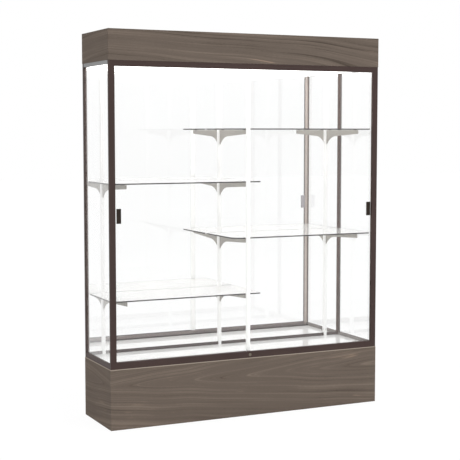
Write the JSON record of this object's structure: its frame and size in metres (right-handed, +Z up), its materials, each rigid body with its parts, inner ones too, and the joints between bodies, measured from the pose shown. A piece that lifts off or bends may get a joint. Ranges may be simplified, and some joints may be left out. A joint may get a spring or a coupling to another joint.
{
  "type": "lighted display case",
  "caption": "Tall free-standing display case with a wood-look plinth and lit canopy, bronze frame, glass ends, sliding glass doors, mirror back and glass shelves on slotted standards.",
  "frame": {"origin": "centre of the footprint, on the floor", "axes": "+X along the front to the viewer's right, +Y from front to back, +Z up"},
  "size_m": [1.58, 0.4064, 2.032],
  "materials": {
    "wood_laminate": "satin wood-look laminate",
    "plain_board": "raw board",
    "bronze": "dark bronze anodised aluminium, satin",
    "aluminium": "natural anodised",
    "clear_glass": "clear tempered",
    "mirror": "mirror",
    "white_laminate": "gloss",
    "white_paint": "powder coat",
    "grey_paint": "satin",
    "seal_white": "matte",
    "pull_black": "matte",
    "nylon": "smooth",
    "rubber": "matte",
    "lock_metal": "polished",
    "diffuser": "frosted, lit from behind",
    "led": "lit",
    "white_plastic": "gloss",
    "black_plastic": "matte"
  },
  "bodies": {
    "case": {"base_front_panel": "wood_laminate", "base_left_panel": "wood_laminate", "base_right_panel": "wood_laminate", "base_back_panel": "wood_laminate", "canopy_front_panel": "wood_laminate", "canopy_left_panel": "wood_laminate", "canopy_right_panel": "wood_laminate", "canopy_back_panel": "wood_laminate", "base_top_board": "plain_board", "base_framing": "plain_board", "canopy_top_board": "plain_board", "back_board": "plain_board", "front_left_post": "bronze", "front_right_post": "bronze", "rear_left_post": "bronze", "rear_right_post": "bronze", "front_sill": "bronze", "rear_bottom_rail": "bronze", "left_bottom_rail": "bronze", "right_bottom_rail": "bronze", "front_header": "bronze", "left_top_rail": "aluminium", "right_top_rail": "aluminium", "lower_door_track": "aluminium", "upper_door_track": "aluminium", "led_channels": "aluminium", "left_side_glass": "clear_glass", "right_side_glass": "clear_glass", "right_upper_shelf": "clear_glass", "left_upper_shelf": "clear_glass", "right_lower_shelf": "clear_glass", "left_lower_shelf": "clear_glass", "mirror_panel": "mirror", "deck_panel": "white_laminate", "shelf_standards": "white_paint", "rear_top_rail": "white_paint", "shelf_brackets": "grey_paint", "glazing_gaskets": "rubber", "shelf_pads": "rubber", "lock_barrel": "lock_metal", "diffuser_panel": "diffuser", "led_strips": "led", "led_driver": "white_plastic", "switch_housing": "black_plastic", "cord_gland": "black_plastic"},
    "left_door": {"left_door_glass": "clear_glass", "left_door_shoe": "aluminium", "left_door_pull": "pull_black", "door_meeting_seal": "seal_white"},
    "right_door": {"right_door_glass": "clear_glass", "right_door_shoe": "aluminium", "right_door_pull": "pull_black"},
    "left_door_outer_roller": {"left_door_outer_roller": "nylon"},
    "left_door_inner_roller": {"left_door_inner_roller": "nylon"},
    "right_door_outer_roller": {"right_door_outer_roller": "nylon"},
    "right_door_inner_roller": {"right_door_inner_roller": "nylon"},
    "lock": {"lock_plug": "lock_metal", "lock_cam": "lock_metal"},
    "switch_rocker": {"switch_rocker": "black_plastic"}
  },
  "joints": [
    {"name": "left_door_slide", "type": "slide", "parent": "case", "child": "left_door", "axis": [1, 0, 0], "range_m": [0, 0.74]},
    {"name": "right_door_slide", "type": "slide", "parent": "case", "child": "right_door", "axis": [1, 0, 0], "range_m": [-0.74, 0]},
    {"name": "left_door_outer_roller_turn", "type": "hinge", "parent": "left_door", "child": "left_door_outer_roller", "pos_m": [-0.694, -0.1722, 0.32605], "axis": [0, 1, 0], "range_deg": [0, 8500]},
    {"name": "left_door_inner_roller_turn", "type": "hinge", "parent": "left_door", "child": "left_door_inner_roller", "pos_m": [-0.0475, -0.1722, 0.32605], "axis": [0, 1, 0], "range_deg": [0, 8500]},
    {"name": "right_door_outer_roller_turn", "type": "hinge", "parent": "right_door", "child": "right_door_outer_roller", "pos_m": [0.694, -0.1828, 0.32605], "axis": [0, 1, 0], "range_deg": [-8500, 0]},
    {"name": "right_door_inner_roller_turn", "type": "hinge", "parent": "right_door", "child": "right_door_inner_roller", "pos_m": [0.0475, -0.1828, 0.32605], "axis": [0, 1, 0], "range_deg": [-8500, 0]},
    {"name": "lock_turn", "type": "hinge", "parent": "case", "child": "lock", "pos_m": [0, -0.2017, 0.33075], "axis": [0, 1, 0], "range_deg": [0, 90]},
    {"name": "switch_tip", "type": "hinge", "parent": "case", "child": "switch_rocker", "pos_m": [-0.64, 0.189, 1.96], "axis": [1, 0, 0], "range_deg": [0, 20]}
  ],
  "couplings": [
    {"joint": "left_door_outer_roller_turn", "follows": "left_door_slide", "rad_per_m": 200},
    {"joint": "left_door_inner_roller_turn", "follows": "left_door_slide", "rad_per_m": 200},
    {"joint": "right_door_outer_roller_turn", "follows": "right_door_slide", "rad_per_m": 200},
    {"joint": "right_door_inner_roller_turn", "follows": "right_door_slide", "rad_per_m": 200}
  ]
}
